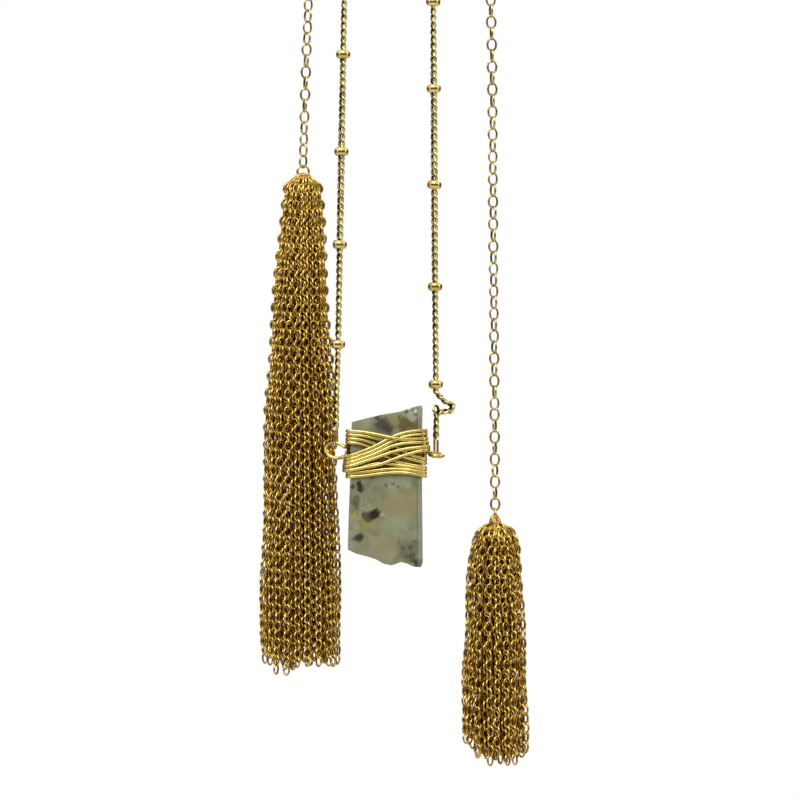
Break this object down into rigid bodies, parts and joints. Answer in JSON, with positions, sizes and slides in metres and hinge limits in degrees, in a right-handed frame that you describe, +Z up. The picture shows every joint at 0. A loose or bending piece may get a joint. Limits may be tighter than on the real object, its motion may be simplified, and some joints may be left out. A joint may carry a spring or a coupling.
{
  "type": "tassel necklace",
  "caption": "Long chain necklace that carries a wire-wrapped stone slab on a beaded chain and two chain tassels on the free ends of a cable chain.",
  "frame": {"origin": "underside of the clasp, where a peg or a neck holds the necklace", "axes": "+Z up along the hanging strands, -Y towards the front of the stone"},
  "size_m": [0.0515, 0.0196, 0.2956],
  "materials": {
    "gold_chain": "antique gold plate, darker between the links",
    "gold_bead": "polished gold plate",
    "gold_wire": "bright pale gold wire",
    "gold_clasp": "polished gold plate",
    "stone": "polished translucent grey-green stone with dark inclusions"
  },
  "bodies": {
    "necklace": {"clasp": "gold_clasp", "clasp_ring_left": "gold_clasp", "clasp_ring_right": "gold_clasp", "cable_left_upper": "gold_chain", "cable_left_lower": "gold_chain", "cable_right_upper": "gold_chain", "cable_right_lower": "gold_chain", "satellite_left_chain": "gold_chain", "satellite_left_beads": "gold_bead", "satellite_right_chain": "gold_chain", "satellite_right_kink": "gold_chain", "satellite_right_beads": "gold_bead", "stone_ring_left": "gold_chain", "stone_ring_right": "gold_chain", "tassel_left_ring": "gold_chain", "tassel_right_ring": "gold_chain", "tassel_left": "gold_chain", "tassel_right": "gold_chain"},
    "pendant": {"stone": "stone", "wire_wrap": "gold_wire"}
  },
  "joints": [
    {"name": "stone_swing", "type": "hinge", "parent": "necklace", "child": "pendant", "pos_m": [-0.0102, 0, -0.2277], "axis": [0.9952, 0, -0.0982], "range_deg": [-50, 75]}
  ]
}
